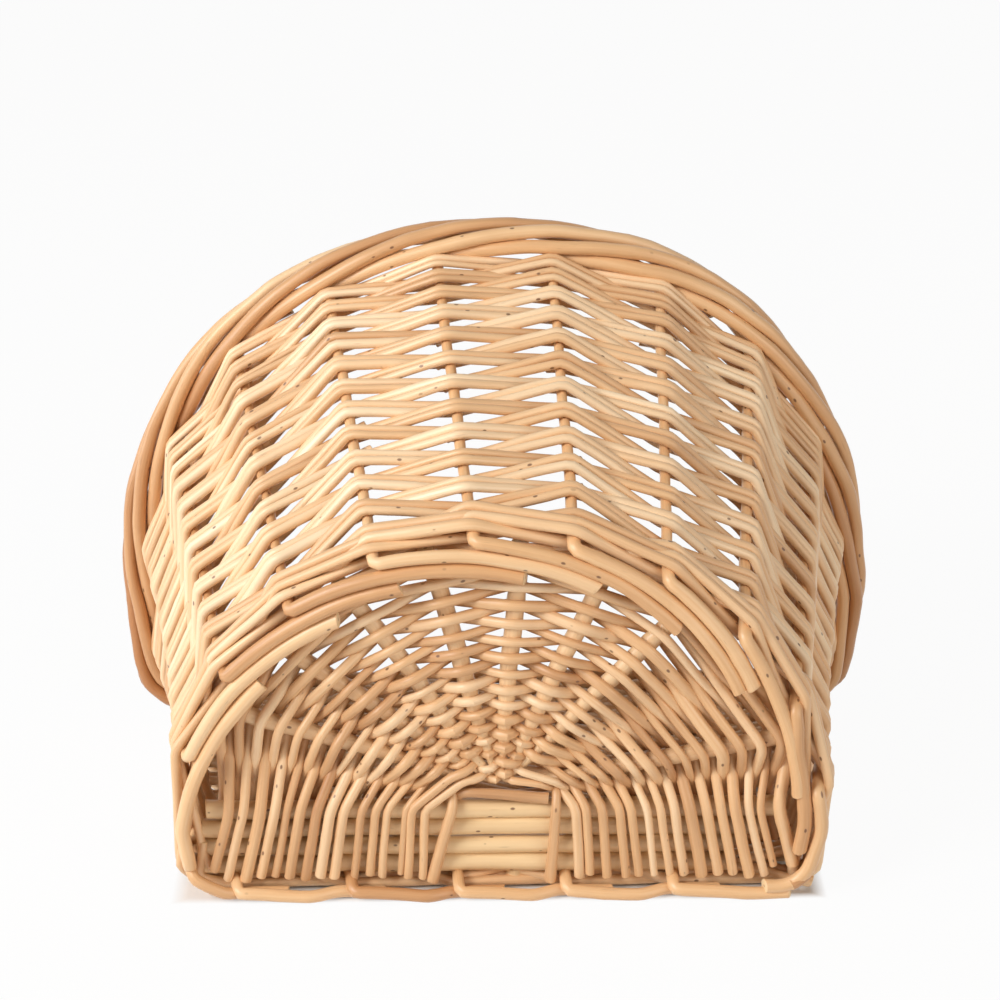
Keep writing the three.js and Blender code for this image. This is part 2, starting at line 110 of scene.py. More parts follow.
def soft_lamp(name, place, width, power, warmth):
    lamp = bpy.data.objects.new(name, bpy.data.lights.new(name, "AREA"))
    lamp.data.size = width
    lamp.data.energy = power
    lamp.data.color = warmth
    lamp.location = place
    lit = Vector((0, 0, 0.12))
    lamp.rotation_euler = (Vector(place) - lit).to_track_quat("Z", "Y").to_euler()
    bpy.context.collection.objects.link(lamp)


soft_lamp("key_lamp", (-1.35, -1.05, 1.3), 0.8, 31, (1.0, 0.99, 0.97))
soft_lamp("fill_lamp", (1.6, -1.5, 0.9), 1.4, 17, (1.0, 0.93, 0.85))
soft_lamp("side_lamp", (-1.6, -0.2, 0.5), 0.8, 9, (0.93, 0.97, 1.0))

world = bpy.data.worlds.new("room")
bpy.context.scene.world = world
world.use_nodes = True
world.node_tree.nodes.clear()
walls = Pattern(world.node_tree)
daylight = walls.node("ShaderNodeBackground", {"Color": (1, 0.89, 0.77, 1), "Strength": 0.17})
backdrop = walls.node("ShaderNodeBackground", {"Color": (1, 1, 1, 1), "Strength": 1})
room = walls.node("ShaderNodeMixShader", {0: in_sight(walls), 1: daylight, 2: backdrop})
room_output = world.node_tree.nodes.new("ShaderNodeOutputWorld")
world.node_tree.links.new(room.socket, room_output.inputs[0])

table_shape = bmesh.new()
bmesh.ops.create_grid(table_shape, x_segments=1, y_segments=1, size=6)
bmesh.ops.translate(table_shape, verts=table_shape.verts, vec=(0, 0, -0.1 * mm))
table_mesh = bpy.data.meshes.new("table")
table_shape.to_mesh(table_mesh)
table_shape.free()
table = bpy.data.objects.new("table", table_mesh)
bpy.context.collection.objects.link(table)

# The table's paper is white to the camera all round, and left in shade under the basket.
paper = bpy.data.materials.new("white_paper")
paper.use_nodes = True
matt = paper.node_tree.nodes["Principled BSDF"]
matt.inputs["Base Color"].default_value = (0.86, 0.86, 0.86, 1)
matt.inputs["Roughness"].default_value = 0.9
shade_half = (0.156, 0.101)  # half of the shaded field, in X and in Y
spot = Pattern(paper.node_tree).node("ShaderNodeTexCoord", output="Object")
spot = spot.node("ShaderNodeVectorMath", {0: spot, 1: (1 / shade_half[0], 1 / shade_half[1], 0)},
                 operation="MULTIPLY")
spot = spot.node("ShaderNodeVectorMath", {0: spot}, operation="ABSOLUTE")
sideways = spot.node("ShaderNodeSeparateXYZ", {0: spot}, output="X")
from_middle = spot.math("MAXIMUM", sideways, sideways.output("Y"))
around = spot.node("ShaderNodeMapRange", {"Value": from_middle, "From Min": 0.95, "From Max": 1,
                                          "To Min": 0, "To Max": 0.95})
shine = spot.node("ShaderNodeEmission", {"Color": (1, 1, 1, 1), "Strength": 1})
shown = spot.node("ShaderNodeMixShader", {0: in_sight(spot) * around,
                                          1: Pattern(paper.node_tree, matt.outputs[0]), 2: shine})
paper.node_tree.links.new(shown.socket, paper.node_tree.nodes["Material Output"].inputs[0])
table_mesh.materials.append(paper)


# Base sticks: four stout peeled willow sticks, side by side along the flat edge of the base. Every
# rod of the basket is willow too: tapered, a little crooked, with a swelling at each bud scar.
def srgb(red, green, blue):
    linear = [(c / 255 / 12.92 if c <= 10 else ((c / 255 + 0.055) / 1.055) ** 2.4)
              for c in (red, green, blue)]
    return (*linear, 1)


def willow(name, pale, golden, brown, gloss):
    """Peeled willow. Each rod's mesh carries its grain, in metres across, across and along the rod,
    and in "rod" its own tone, where it is cut, and how far out from its middle a place is."""
    material = bpy.data.materials.new(name)
    material.use_nodes = True
    tree = material.node_tree
    peeled = tree.nodes["Principled BSDF"]
    place = Pattern(tree).node("ShaderNodeAttribute", output="Vector", attribute_name="grain")
    rod = place.node("ShaderNodeAttribute", output="Vector", attribute_name="rod")
    tone = rod.node("ShaderNodeSeparateXYZ", {0: rod}, output="X")
    cut, out = tone.output("Y"), tone.output("Z")

    def stretched(across, along):
        return place.node("ShaderNodeVectorMath", {0: place, 1: (across, across, along)},
                          operation="MULTIPLY")

    def noise(across, along, detail):
        return place.node("ShaderNodeTexNoise",
                          {"Vector": stretched(across, along), "Scale": 1, "Detail": detail})

    def between(value, low, high):
        return value.node("ShaderNodeMapRange", {0: value, 1: low, 2: high, 3: 0, 4: 1},
                          interpolation_type="SMOOTHSTEP")

    def blend(share, first, second):
        return share.node("ShaderNodeMix", {0: share, 6: first, 7: second}, output=2,
                          data_type="RGBA")

    fibre = noise(950, 16, 4)
    patch = noise(110, 11, 3)
    scar = between(noise(420, 60, 2), 0.68, 0.78)
    cells = {"Vector": stretched(200, 115), "Scale": 1}
    near_speck = place.node("ShaderNodeTexVoronoi", cells, output="Distance")
    kind = place.node("ShaderNodeTexVoronoi", cells, output="Color")
    some_cells = between(kind.node("ShaderNodeSeparateColor", {0: kind}), 0.66, 0.70)
    speck = between(near_speck, 0.17, 0.08) * some_cells

    depth = tone * 0.62 + patch * 0.5 + fibre * 0.26 - 0.19
    ramp = depth.node("ShaderNodeValToRGB", {0: depth})
    stops = ramp.socket.node.color_ramp.elements
    stops[0].position, stops[0].color = 0.16, srgb(*pale)
    stops[1].position, stops[1].color = 0.92, srgb(*brown)
    stops.new(0.52).color = srgb(*golden)
    skin = blend(speck * 0.85 + scar * 0.22, ramp, srgb(104, 62, 34))
    pith = between(out, 0.34, 0.14)
    wood = blend(pith * 0.6, srgb(236, 208, 164), srgb(150, 105, 62))
    colour = blend(cut, skin, wood)
    rough = fibre * 0.22 + cut * 0.3 + (gloss - 0.06)
    height = fibre * 0.6 + patch * 0.9 - speck * 0.35
    bump = height.node("ShaderNodeBump", {"Height": height, "Strength": 0.42, "Distance": 0.0004})
    for value, name in ((colour, "Base Color"), (rough, "Roughness"), (bump, "Normal")):
        tree.links.new(value.socket, peeled.inputs[name])
    peeled.inputs["Coat Weight"].default_value = 0.3
    peeled.inputs["Coat Roughness"].default_value = 0.34
    return material


def run_along(line):
    """How far along a line each of its points is."""
    return np.append(0, np.cumsum(np.linalg.norm(np.diff(line, axis=0), axis=1)))


def at_run(places, run, line):
    return np.column_stack([np.interp(places, run, column) for column in line.T])


def unit(vector):
    return vector / np.linalg.norm(vector)


def rounded(corners, bend, step=3.2):
    """The line through a list of corners, with each corner rounded over the length of the bend.
    It takes millimetres and gives metres."""
    corners = np.array(corners, dtype=float) * mm
    run = run_along(corners)
    fine = np.linspace(0, run[-1], max(int(run[-1] / (0.8 * mm)), 12))
    line = at_run(fine, run, corners)
    half = min(int(1.2 * (bend * mm) / (fine[1] - fine[0])), len(line) - 2)
    if half > 0:
        weight = np.exp(-0.5 * (np.arange(-half, half + 1) / (0.42 * half)) ** 2)
        padded = np.vstack([2 * line[0] - line[half:0:-1], line,
                            2 * line[-1] - line[-2:-half - 2:-1]])
        line = np.column_stack([np.convolve(column, weight / weight.sum(), "valid")
                                for column in padded.T])
    run = run_along(line)
    even = np.linspace(0, run[-1], max(int(run[-1] / (step * mm)), 3) + 1)
    return at_run(even, run, line)


class Rods:
    """A piece made of willow rods, each a grid rolled up round a line and closed at its ends."""

    sides = 12
    worn_edge = 0.35 * mm  # round a cut end
    knot_reach = 2.6 * mm

    def __init__(self, seed):
        self.chance = random.Random(seed)
        self.shape = bmesh.new()
        self.places, self.grain, self.look = [], [], []

    def knotted(self, radius, run):
        """The radius along a rod, with a swelling at each of its bud scars."""
        knot = self.chance.uniform(10, 60) * mm
        while knot < run[-1]:
            swelling = self.chance.uniform(0.02, 0.07)
            radius = radius * (1 + swelling * np.exp(-((run - knot) / self.knot_reach) ** 2))
            knot += self.chance.uniform(38, 90) * mm
        return radius

    def crooked(self, line, run, side, out, wander):
        """The line with a long and a short sway to each side."""
        for across in (side, out):
            long_wave, short_wave = (self.chance.uniform(70, 120) * mm,
                                     self.chance.uniform(28, 48) * mm)
            for wave, share in ((long_wave, 0.75), (short_wave, 0.3)):
                turn = 2 * math.pi * (run / wave + self.chance.random())
                line = line + across * (wander * mm * share * np.sin(turn))[:, None]
        return line

    def lay(self, line, thick, tone, wander=0.3, slants=(0.12, 0.12), knots=True):
        """Adds a rod along a line. Thick is the diameter in millimetres, or a list of diameters
        spread evenly from one end to the other, and so is tone, from pale to brown."""
        chance = self.chance
        run = run_along(line)
        length = run[-1]
        thick = np.atleast_1d(thick) * mm
        radius = np.interp(run / length, np.linspace(0, 1, len(thick)), thick) / 2
        if knots:
            radius = self.knotted(radius, run)
        ahead = np.gradient(line, axis=0)
        ahead /= np.linalg.norm(ahead, axis=1)[:, None]
        side = np.zeros_like(line)
        carried = np.cross(ahead[0], (0.31, 0.87, 0.38))
        for k, forward in enumerate(ahead):
            carried = unit(carried - carried.dot(forward) * forward)
            side[k] = carried
        out = np.cross(ahead, side)
        line = self.crooked(line, run, side, out, wander)

        # Rings round the line, with three at each end for the cut: middle, face and worn edge.
        ends = [0, 0, *range(len(line)), -1, -1]
        rings = line[ends].copy()
        ring_radius = radius[ends].copy()
        for first, second, third, inwards in ((0, 1, 2, ahead[0]), (-1, -2, -3, -ahead[-1])):
            ring_radius[first] = 0
            ring_radius[second] = max(ring_radius[third] - self.worn_edge, 0.6 * ring_radius[third])
            rings[third] = rings[third] + self.worn_edge * inwards
        angle = np.linspace(0, 2 * math.pi, self.sides + 1)[:, None]
        flat = 1 + chance.uniform(0.02, 0.07) * np.cos(
            2 * angle + run[ends][None, :] / (60 * mm) + chance.uniform(0, 6))
        reach = ring_radius[None, :] * flat
        across, above = reach * np.cos(angle), reach * np.sin(angle)
        placed = (rings[None] + across[..., None] * side[ends][None]
                  + above[..., None] * out[ends][None])
        for cut_rings, forward, slant in (((0, 1, 2), ahead[0], slants[0]),
                                          ((-1, -2, -3), ahead[-1], slants[1])):
            towards = chance.uniform(0, math.tau)
            for ring in cut_rings:
                shift = slant * math.tau / 6 * reach[:, ring] * np.cos(angle[:, 0] - towards)
                placed[:, ring] += shift[:, None] * forward[None]
        placed[-1] = placed[0]
        placed[..., 2] = np.maximum(placed[..., 2], 0)  # nothing goes below the table
        bmesh.ops.create_grid(self.shape, x_segments=len(ends) - 1, y_segments=self.sides, size=1)

        own = np.array([chance.uniform(-4, 4), chance.uniform(-4, 4), chance.uniform(-4, 4)])
        grain = np.stack([across, above, np.broadcast_to(run[ends], across.shape)], -1) + own
        grain[-1] = grain[0]
        look = np.zeros_like(grain)
        along = np.interp(run[ends] / length, np.linspace(0, 1, np.size(tone)), np.atleast_1d(tone))
        look[..., 0] = along + chance.uniform(-0.12, 0.12)
        look[:, [0, 1, -2, -1], 1] = 1
        look[..., 2] = 1
        look[:, [0, -1], 2] = 0
        for store, rows in ((self.places, placed), (self.grain, grain), (self.look, look)):
            store.append(rows.reshape(-1, 3))

    def finish(self, name, nodes, material):
        mesh = bpy.data.meshes.new(name)
        self.shape.to_mesh(mesh)
        mesh.vertices.foreach_set("co", np.concatenate(self.places).ravel())
        for label, rows in (("grain", self.grain), ("rod", self.look)):
            layer = mesh.attributes.new(label, "FLOAT_VECTOR", "POINT")
            layer.data.foreach_set("vector", np.concatenate(rows).ravel())
        self.shape.clear()
        self.shape.from_mesh(mesh)
        bmesh.ops.remove_doubles(self.shape, verts=self.shape.verts, dist=0.001 * mm)
        bmesh.ops.recalc_face_normals(self.shape, faces=self.shape.faces)
        for face in self.shape.faces:
            face.smooth = True
        crisp = 0.65
        for edge in self.shape.edges:
            edge.smooth = edge.calc_face_angle(0) < crisp
        self.shape.to_mesh(mesh)
        self.shape.free()
        mesh.materials.append(material)
        piece = bpy.data.objects.new(name, mesh)
        bpy.context.collection.objects.link(piece)
        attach(piece, "root")
        if nodes:
            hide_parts(*nodes)


stick_willow = willow("stick_willow", (243, 214, 168), (230, 193, 144), (196, 150, 100), 0.42)
stick_left = [-142, -143.5, -141, -138.5]
stick_right = [112, 111, 124, 131]
stick_height = [14.1, 24.0, 33.8, 43.5]
stick_bow = [0.5, -0.3, 0.4, -0.2]
stick_thick = 9.6
sheet = -88.1  # middle of the base, along Y
for number, (left, right, z, bow) in enumerate(
        zip(stick_left, stick_right, stick_height, stick_bow), 1):
    stick = Rods(number)
    corners = [(x, sheet, z + bow * math.cos(x / 60)) for x in np.linspace(left, right, 7)]
    stick.lay(rounded(corners, 12, 4), [stick_thick, stick_thick - 0.3, stick_thick], 0.22)
    stick.finish(f"stick_{number}", [f"base_stick_{number}"], stick_willow)


# Wall shape: the stakes lean out from the D of the base to the wider D of the mouth. The rods of
# the base and of both borders follow the same two outlines.
class Outline:
    """The D, clockwise seen from the base, from the middle of its flat side."""

    def __init__(self, half, depth, rise, corner, toe_in, inset):
        half, rise, corner, shoulder = half - inset, rise - inset, corner - inset, depth - rise
        toe = half - toe_in
        quarter = math.pi / 2
        points = [(0, inset), (corner - toe, inset)]
        points += self.arc(corner - toe, inset + corner, corner, corner, -quarter, -math.pi, 8)
        points += [(-half, shoulder)] + self.arc(0, shoulder, half, rise, math.pi, 0, 72)
        points += [(toe, inset + corner)]
        points += self.arc(toe - corner, inset + corner, corner, corner, 0, -quarter, 8)
        points += [(0, inset)]
        self.points = np.array(points)
        self.run = run_along(self.points)
        self.length = self.run[-1]
        first_corner = (toe - corner + corner * quarter / 2) / self.length
        self.corner_parts = (first_corner, 1 - first_corner)
        self.flat_again = self.run[-10] / self.length

    def arc(self, x, z, wide, high, first, last, count):
        return [(x + wide * math.cos(a), z + high * math.sin(a))
                for a in np.linspace(first, last, count + 1)]

    def place(self, part, y=0.0):
        along = (part % 1) * self.length
        x, z = (np.interp(along, self.run, self.points[:, k]) for k in (0, 1))
        return np.array((x, y, z))

    def outward(self, part):
        ahead = unit(self.place(part + 2 / self.length) - self.place(part - 2 / self.length))
        return np.array((-ahead[2], 0, ahead[0]))

    def reach(self, x, z, direction):
        """How far the outline is from a place inside it."""
        start = self.points - (x, z)
        edge = np.roll(start, -1, axis=0) - start
        cross = direction[0] * edge[:, 1] - direction[1] * edge[:, 0]
        cross[np.abs(cross) < 1e-9] = np.inf
        along = (start[:, 0] * edge[:, 1] - start[:, 1] * edge[:, 0]) / cross
        part = (start[:, 0] * direction[1] - start[:, 1] * direction[0]) / cross
        return along[(part >= 0) & (part <= 1) & (along > 0)].min()


stake_count = 18
foot_line, rim_line = -105, 105  # the outer faces of the two borders, along Y
foot_rod, flat_rod, rim_rod, stake_rod = 7.4, 5.6, 6.6, 5.2
foot_size = (153, 191, 153, 22, 2)
foot = Outline(*foot_size, foot_rod / 2)
foot_turned = 11  # how far the feet have moved round the base
rim_turn, rim_turn_up = 7.2, 9.2  # half the rope's width between rod middles, and half its height
rim = Outline(197, 277.5, 190, 31, 2.5, rim_turn + rim_rod / 2)
up = np.array((0, 1, 0))


def foot_part(index):
    return (index + 0.5) / stake_count + foot_turned / foot.length


def rim_part(index):
    return (index + 0.5) / stake_count


def hump(value, middle, width):
    return math.exp(-((value - middle) / width) ** 2)


def on_rope(index, spans, turn_radius=rim_turn):
    """The middle of a stake's top, so many stakes on, in the rope that it is wound into. Handmade,
    the rim is a little high on its two shoulders and wide at the lower right."""
    part = rim_part(index + spans)
    angle = math.radians(-150 + 60 * spans)
    middle = rim.place(part, rim_line - rim_turn_up - rim_rod / 2)
    x, _, z = middle
    shoulders = 4.4 * hump(x, 110, 52) + 3 * hump(x, -140, 50)
    middle[2] += shoulders * min(max(z / 100 - 1, 0), 1)
    middle[0] += 3.5 * hump(z, 68, 18) if x > 0 else 0
    return (middle + rim.outward(part) * turn_radius * math.cos(angle)
            + up * (turn_radius + rim_turn_up - rim_turn) * math.sin(angle))


def is_flat(index):
    return foot.place(foot_part(index))[2] < foot_rod


# The feet along the flat edge stand to one side of their even places, those at its ends more so.
flat_shift, flat_spread = 18.1, 0.115
stake_lines = []
for index in range(stake_count):
    low = foot.place(foot_part(index), foot_line + foot_rod / 2)
    if is_flat(index):
        end_shift = 10 if low[0] > 95 else -3.6 if low[0] < -110 else 0
        low = np.array((low[0] + (flat_shift + flat_spread * low[0] + end_shift),
                        foot_line + flat_rod / 2, flat_rod + 0.3 + stake_rod / 2))
    if index == 3:  # low at the left corner
        low += (3, 0, -15)
    stake_lines.append((low, on_rope(index, 0)))
wall_bow = {2.5: 7, 3: 9, 4: 4, 13: -4, 14: -6.5, 14.5: -6}  # where the wall is drawn in, in X


def bowed(index, share):
    return np.array((wall_bow.get(index, 0) * math.sin(math.pi * min(max(share, 0), 1)), 0, 0))


def on_stake(index, y):
    low, high = stake_lines[index % stake_count]
    share = (y - low[1]) / (high[1] - low[1])
    return low + (high - low) * share + bowed(index % stake_count, share)


def off_wall(index, y):
    around = on_stake(index + 1, y) - on_stake(index - 1, y)
    low, high = stake_lines[index % stake_count]
    return unit(np.cross(around, high - low))


# Between two stakes the wall also turns at each rounded corner, along a line up its middle.
corner_lines = {}
for corner_parts in zip(foot.corner_parts, rim.corner_parts):
    at = [(corner_parts[0] - foot_part(0)) * stake_count,
          (corner_parts[1] - rim_part(0)) * stake_count]
    before = math.floor(sum(at) / 2)
    parts = [min(max(v - before, 0.15), 0.85) for v in at]
    corner_lines[before] = (foot.place(foot_part(before + parts[0]), foot_line + foot_rod / 2),
                            on_rope(before + parts[1], 0), parts)


def along_wall(crossings, corner_grip=1.0):
    """Points and outward directions for a row's crossings of the stakes, each an index, a height
    and distances out of the wall and up it, with the turns at the corners between them."""
    points = []
    for step, (index, y, out, shift) in enumerate(crossings):
        low, high = stake_lines[index % stake_count]
        rise = unit(high - low)
        away = off_wall(index, y)
        points.append((on_stake(index, y) + away * out + rise * shift, away, step))
        if index % stake_count not in corner_lines or step + 1 == len(crossings):
            continue
        next_index, next_y, next_out, next_shift = crossings[step + 1]
        low, high, parts = corner_lines[index % stake_count]
        part = parts[0] + (parts[1] - parts[0]) * (y - low[1]) / (high[1] - low[1])
        level = y + (next_y - y) * part
        away = unit(away + off_wall(next_index, next_y))
        share = (level - low[1]) / (high[1] - low[1])
        turn = low + (high - low) * share + bowed(index % stake_count + 0.5, share)
        turn = turn + away * corner_grip * (out + (next_out - out) * part)
        points.append((turn + rise * (shift + (next_shift - shift) * part), away, None))
    return points


# Ribs: eight peeled sticks that fan out over the base from the top stick, shaved to a point at the
# centre, each ending in a gap between two stakes.
rib_willow = willow("rib_willow", (244, 214, 172), (224, 182, 134), (184, 134, 86), 0.44)
rib_gaps = [12, 10, 9, 8, 7, 6, 5, 4]
rib_rod = 8.3
rib_point = 2.6
rib_thicks = [2.4, 5.2, 6.6, 7.6, 8.1, 8.3, 8.3, 8.2, 8.3]
fan_height = 54.8  # where the ribs meet, on the top stick
rib_outline = Outline(*foot_size, foot_rod / 2 - 3.5)
rib_directions = []
for number, gap in enumerate(rib_gaps, 1):
    gap_middle = (on_stake(gap, sheet) + on_stake(gap + 1, sheet)) / 2
    direction = unit(gap_middle[[0, 2]] - (0, fan_height))
    rib_directions.append(direction)
    start = 4 if 1 < number < 8 else 13
    end = rib_outline.reach(0, fan_height, direction) - 8.5
    rib = Rods(20 + number)
    corners = [(direction[0] * d, sheet, fan_height + direction[1] * d)
               for d in np.linspace(start, end, 9)]
    rib.lay(rounded(corners, 10), rib_thicks, 0.25, wander=0.5)
    rib.finish(f"rib_{number}", [f"base_rib_{number}"], rib_willow)


def rib_thick(distance):
    return rib_point + (rib_rod - rib_point) * math.sqrt(min(max((distance - 10) / 45, 0), 1))


# Base rods: thin tapered rods woven over and under the ribs, from the centre out. Their ends run
# down as legs, one before the sticks and the next behind them, and are cut off square below.
base_willow = willow("base_willow", (252, 226, 190), (228, 184, 136), (174, 118, 72), 0.42)
base_edge = Outline(*foot_size, 9.5)
base_half = 137
base_rows = 30
base_chance = random.Random(5)


def leg(part, radius, side, front):
    """The two ends of a leg, before the sticks or behind them. The outer ones lean out more."""
    splay = 2 + 11 * part
    bottom = 33 + 106.5 * part + base_chance.uniform(-1.2, 1.2)
    clear = stick_thick / 2 + 0.3 + radius
    low = (10.5 if front > 0 else 22) + base_chance.uniform(-1.2, 1.0)
    if bottom > 130:  # over the rounded corner
        low = max(low, 3.5 + 12 * part)
    return [(side * (bottom - splay * (z - 12) / 48), sheet - front * clear, z)
            for z in (low, 47)]


for pair in range(base_rows // 2):
    woven = Rods(100 + pair)
    for row in (2 * pair, 2 * pair + 1):
        part = row / (base_rows - 1)
        butt = base_chance.uniform(4.9, 5.9 + 0.7 * part) - 0.9 * (1 - part)
        tip = butt - base_chance.uniform(0.4, 1.3)
        radius = (butt + tip) / 4
        crossings = []
        for k, direction in enumerate(rib_directions):
            inner = 1 / math.hypot(direction[0] / 29, direction[1] / 5.2)
            outer = min(base_edge.reach(0, fan_height, direction),
                        base_half / max(abs(direction[0]), 0.1))
            distance = inner + (outer - inner) * (0.8 + 0.2 * part) * part
            behind = ((k // 2 if row < 4 else k) + row) % 2
            clear = rib_thick(distance) / 2 + 0.25 + radius
            crossings.append((direction[0] * distance, sheet + (clear if behind else -clear),
                              fan_height + direction[1] * distance))
        first_front = 1 if row % 2 == 1 else -1
        last_front = first_front if row < 4 else -first_front
        corners = (leg(part, radius, 1, first_front) + crossings
                   + leg(part, radius, -1, last_front)[::-1])
        if base_chance.random() < 0.5:
            corners = corners[::-1]
        woven.lay(rounded(corners, 3.2 + 4.5 * part), [butt, tip], base_chance.uniform(0.2, 0.75),
                  wander=0.28)
    woven.finish(f"base_rods_{pair + 1:02d}", [f"base_weaver_{pair + 1:02d}"], base_willow)


# Centre: a short bar laid on the top stick, and a lashing rod at each end of it that comes up over
# the four sticks and turns in behind them.
bar_height = stick_height[3] + (stick_thick + 5) / 2 + 0.3
bar = Rods(61)
corners = [(-20.5, sheet + 2, bar_height - 2.5), (-18.5, sheet - 3, bar_height + 2.4),
           (-14, sheet - 4.2, bar_height + 3.4), (5, sheet - 4.4, bar_height + 1.4),
           (23, sheet - 4.4, bar_height - 0.6)]
bar.lay(rounded(corners, 2.2, 2), [4.6, 5.2, 5.8], 0.8)
bar.finish("bar", ["centre_bar"], base_willow)

for seed, name, bottom, top in ((62, "left", -32, -22.3), (63, "right", 23.7, 26.8)):
    lashing = Rods(seed)
    front = sheet - stick_thick / 2 - 2.5
    corners = [(bottom, front, 7.6), (bottom + (top - bottom) * 0.5, front, 29),
               (top, front + 0.2, 47), (top, sheet - 2.2, 54), (top, sheet + 3, 54.4)]
    lashing.lay(rounded(corners, 3, 2.4), [5.9, 5.2, 4.8, 4.2], 0.62)
    lashing.finish(f"lashing_rod_{name}", [f"lashing_{name}"], base_willow)


# Stub: under the sticks show the cut end of a stick let in between them, and beside it some of its
# split fibres.
stub = Rods(64)
stub.lay(rounded([(7, sheet + 3.2, 13), (7.1, sheet + 2.6, 2.6)], 1, 2), [9.2, 9.4, 8.6], 0.3,
         slants=(0.1, 0.2))
for k in range(9):
    x, y = 12.2 + 1.1 * k, sheet - 0.5 + (k % 3)
    lean = 0.35 * (k - 3.5)
    fibre_end = 3.2 + 1.6 * abs(math.sin(2.4 * k))
    stub.lay(rounded([(x, y + 2, 12), (x + lean, y, fibre_end)], 1, 2), [1.7, 1.4, 0.8], 0.1,
             knots=False)
stub.finish("stick_stub", [], stick_willow)


# Upsett: two rounds of waling with three stout rods, each before two stakes and behind one, which
# hold the stakes to the base.
weaver_willow = willow("weaver_willow", (253, 229, 194), (235, 193, 146), (188, 134, 86), 0.40)


def chain(piece, points, cuts, butt, tip, bend, chance, tones):
    """Lays a long woven line as tapered rods. Each one begins and ends inside, behind a stake."""
    for first, last in zip(cuts, cuts[1:]):
        part = [points[k][0] for k in range(first, last + 1)]
        inwards = -3.2 * points[first][1]
        start = part[0] - unit(part[1] - part[0]) * chance.uniform(4, 9) + inwards
        end = part[-1] + unit(part[-1] - part[-2]) * chance.uniform(5, 9)
        ends = (butt * chance.uniform(0.92, 1.06), tip * chance.uniform(0.9, 1.1))
        if chance.random() < 0.25:
            ends = ends[::-1]
        corners = [start, part[0] + inwards * 0.35, *part[1:], end]
        piece.lay(rounded(corners, bend), ends, chance.uniform(*tones))


wale_levels = (-90.2, -95.6, -93)  # in front of the first stake, of the second, and behind
flat_wale_levels = (-87.5, -91, -80.4)  # there it passes under the base sticks, and rises behind
round_pitch = 5.2
wale = Rods(70)
wale_chance = random.Random(71)
for strand in range(6):
    rod, height = strand % 3, round_pitch * (strand // 3)
    crossings = []
    for index in range(-3, stake_count + 4):
        state = (index - rod) % 3
        levels, lift = wale_levels, stake_rod / 2 + 2.9 + (0.4 if state == 0 else 0)
        if is_flat(index % stake_count):
            levels, lift = flat_wale_levels, stake_rod / 2 + 2.4
        crossings.append((index, levels[state] + height, -lift if state == 2 else lift, 0))
    points = along_wall(crossings, 0.5)
    behind = [k for k, (_, _, step) in enumerate(points)
              if step is not None and (crossings[step][0] - rod) % 3 == 2]
    chain(wale, points, behind[:8:2], 5.9, 4.4, 4, wale_chance, (0.35, 0.7))
wale.finish("wale_rods", ["upsett_hoop_1", "upsett_hoop_2"], weaver_willow)


# Side weaving: rods slewed two and two in front of one stake and behind the next, with the rows
# staggered. Each rod tapers, and a new one takes over where the last runs out inside the wall.
weaver_rod = 4.6
pair_width = 8.6
rows_start = sheet + 5.6
rows_end = 88.5  # tucked in under the rim rope
rows_height = rows_end - rows_start - pair_width
row_count = 22


def row_level(row, index):
    """The height of a row at a stake. The rows are beaten closer and closer towards the mouth."""
    share = (row + index % 2) / row_count
    closing = max(share - 0.6, 0)
    return rows_start + pair_width / 2 + rows_height * (1.1 * share - 0.625 * closing * closing)


for order in range(10):
    wall = Rods(200 + order)
    chance = random.Random(300 + order)
    chaser = order % 2  # the first or the second of the two sets that follow one another round
    first_row = chaser + 4 * (order // 2)
    last = order >= 8
    steps = 3 * stake_count - 2 if last else 2 * stake_count
    rod = weaver_rod * (0.86 if last else 1)
    for lane in (-1, 1):
        crossings = []
        for index in range(chaser, chaser + steps + 1):
            row = first_row + 2 * (index // stake_count)
            side = 1 if (index + row) % 2 == 1 else -1
            lift = stake_rod / 2 + weaver_rod / 2 + (0.5 if side > 0 else 0.3)
            crossings.append((index, row_level(row, index),
                              side * lift + chance.uniform(-0.25, 0.25),
                              lane * rod / 2 + chance.uniform(-0.5, 0.5)))
        points = along_wall(crossings)
        inside = [k for k, (_, _, step) in enumerate(points)
                  if step is not None and crossings[step][2] < 0]
        cuts = [inside[0], inside[(3 if lane > 0 else 1) + chance.randrange(3)]]
        while reach := [k for k in inside if 8 <= k - cuts[-1] <= 11]:
            cuts.append(chance.choice(reach))
        if cuts[-1] < inside[-1]:
            cuts.append(inside[-1])
        chain(wall, points, cuts, 1.14 * rod, 0.86 * rod, 3.4, chance, (0.15, 0.7))
    wall.finish(f"wall_rods_{order + 1:02d}", [f"side_weaver_{order + 1:02d}"], weaver_willow)


# Stakes and borders: eighteen rods. Each stake is bent over at the foot, where its butt lies on the
# face of the base with its neighbours, and again at the mouth, where its top winds into the rim.
stake_willow = willow("stake_willow", (250, 220, 178), (229, 183, 133), (182, 124, 76), 0.38)
band_pitch = 6.9
# At the right corner: how many stakes a butt passes, and how far inwards it lies after half a
# stake and at its end.
corner_butts = {10: (1.55, 3.4, 10.7), 11: (1.97, 3.4, 9), 12: (1.7, 6.4, 6.4),
                13: (1.5, -1.6, 3.6), 14: (0.2, 4.5, 4.5)}


